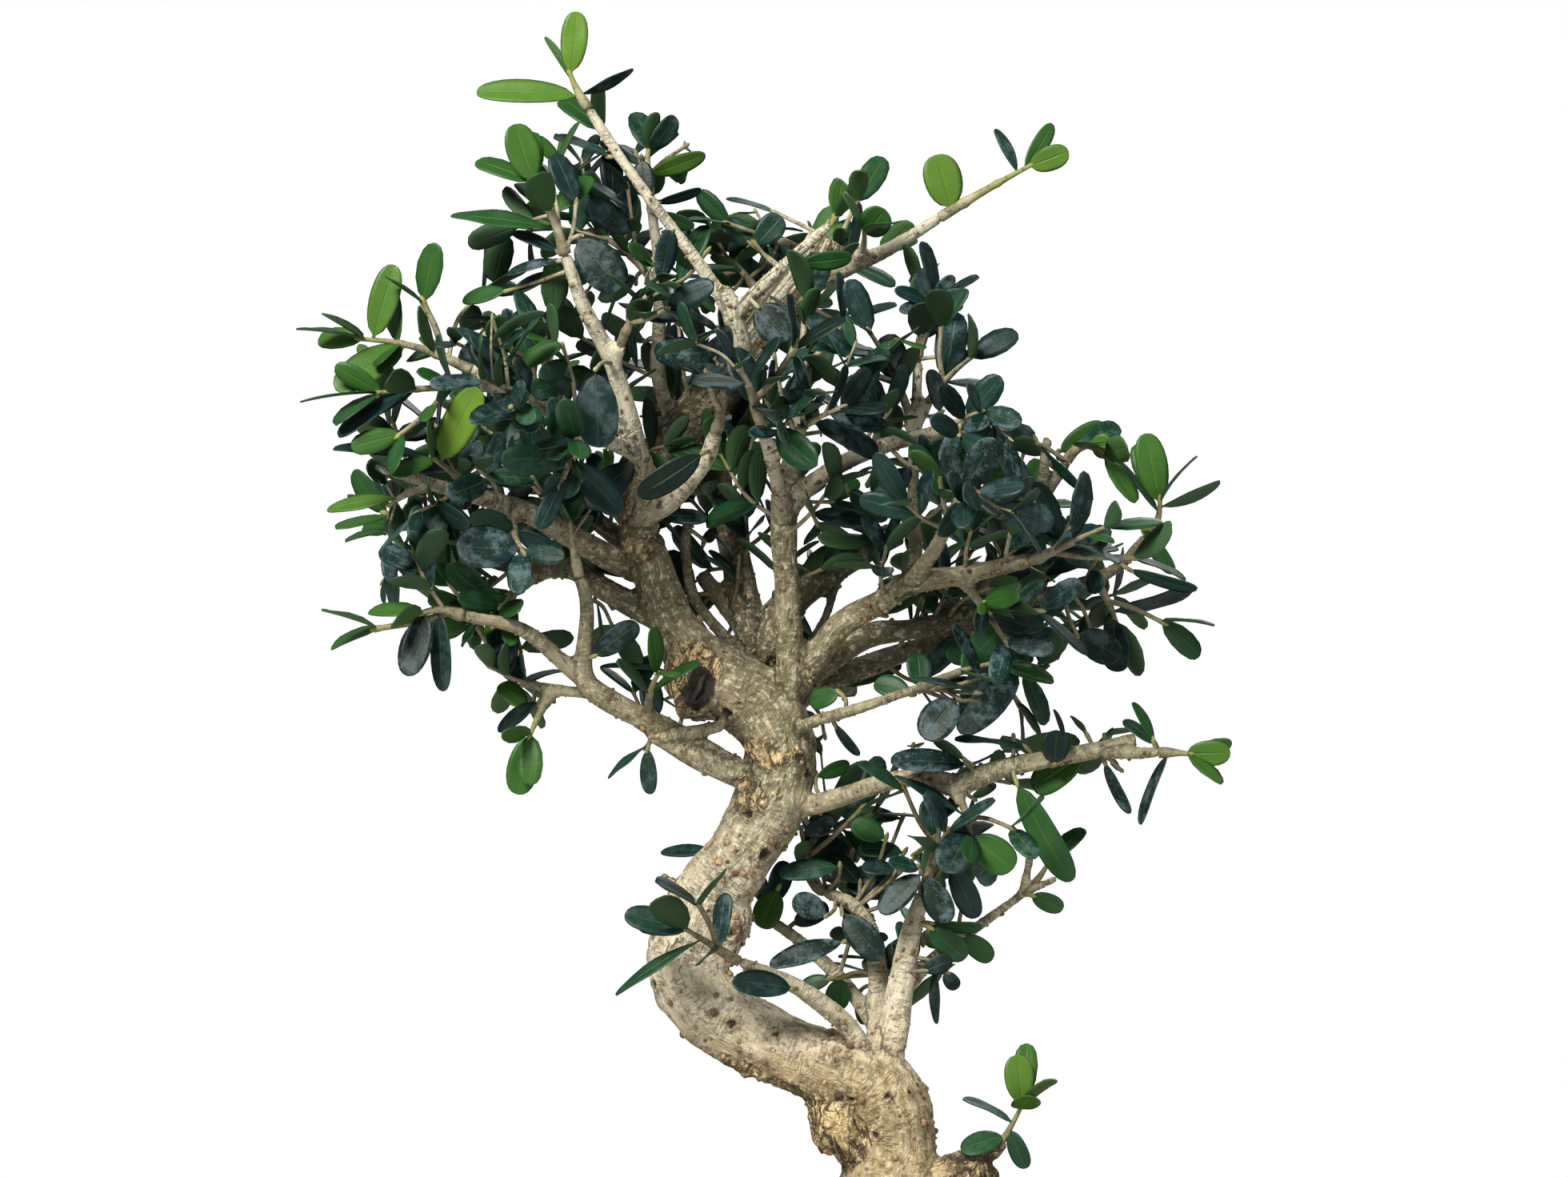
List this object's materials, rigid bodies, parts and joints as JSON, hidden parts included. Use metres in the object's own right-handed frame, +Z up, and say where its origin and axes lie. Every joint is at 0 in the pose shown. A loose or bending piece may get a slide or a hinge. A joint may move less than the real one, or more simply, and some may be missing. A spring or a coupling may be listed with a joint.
{
  "type": "olive bonsai",
  "caption": "Olive bonsai with an S-shaped trunk and leafy shoots, in a shallow rectangular clay pot filled with soil.",
  "frame": {"origin": "centre of the object's footprint, on the surface that the pot's feet stand on", "axes": "+Z up, X along the pot's long side, -Y towards the tree's front, which the picture shows"},
  "size_m": [0.2296, 0.1624, 0.3899],
  "materials": {
    "bark": "matte bark, tan with brown pits",
    "leaf": "leathery leaf, dark blue-green, slightly glossy",
    "soil": "matte granules",
    "clay": "matte unglazed",
    "mesh_plastic": "matte"
  },
  "bodies": {
    "root": {"drain_mesh_left": "mesh_plastic", "drain_mesh_right": "mesh_plastic", "pot": "clay", "soil": "soil", "spray_back_centre": "leaf", "spray_back_top": "leaf", "spray_back_top_right": "leaf", "spray_base_sprout": "leaf", "spray_crown_back": "leaf", "spray_crown_front": "leaf", "spray_crown_high": "leaf", "spray_crown_left": "leaf", "spray_crown_middle": "leaf", "spray_crown_rear": "leaf", "spray_crown_tip": "leaf", "spray_dark_centre": "leaf", "spray_front_centre": "leaf", "spray_front_centre_right": "leaf", "spray_heart": "leaf", "spray_heart_front": "leaf", "spray_left_back": "leaf", "spray_left_back_low": "leaf", "spray_left_bright": "leaf", "spray_left_front": "leaf", "spray_left_front_low": "leaf", "spray_left_high": "leaf", "spray_left_long": "leaf", "spray_left_middle": "leaf", "spray_left_tip": "leaf", "spray_left_under": "leaf", "spray_low_left_back": "leaf", "spray_low_left_hanging": "leaf", "spray_low_left_high": "leaf", "spray_low_left_inner": "leaf", "spray_low_left_tip": "leaf", "spray_low_right_knob": "leaf", "spray_low_right_tip": "leaf", "spray_low_tree_centre": "leaf", "spray_low_tree_far": "leaf", "spray_low_tree_front": "leaf", "spray_low_tree_right": "leaf", "spray_rear_left": "leaf", "spray_rear_left_high": "leaf", "spray_rear_right": "leaf", "spray_right_back": "leaf", "spray_right_far": "leaf", "spray_right_far_tip": "leaf", "spray_right_front": "leaf", "spray_right_front_low": "leaf", "spray_right_high": "leaf", "spray_right_middle": "leaf", "spray_right_near": "leaf", "spray_right_rise": "leaf", "spray_right_thin": "leaf", "spray_rosette": "leaf", "spray_rosette_inner": "leaf", "spray_rosette_low": "leaf", "spray_top_right": "leaf", "spray_top_right_tip": "leaf", "wood": "bark"}
  },
  "joints": []
}
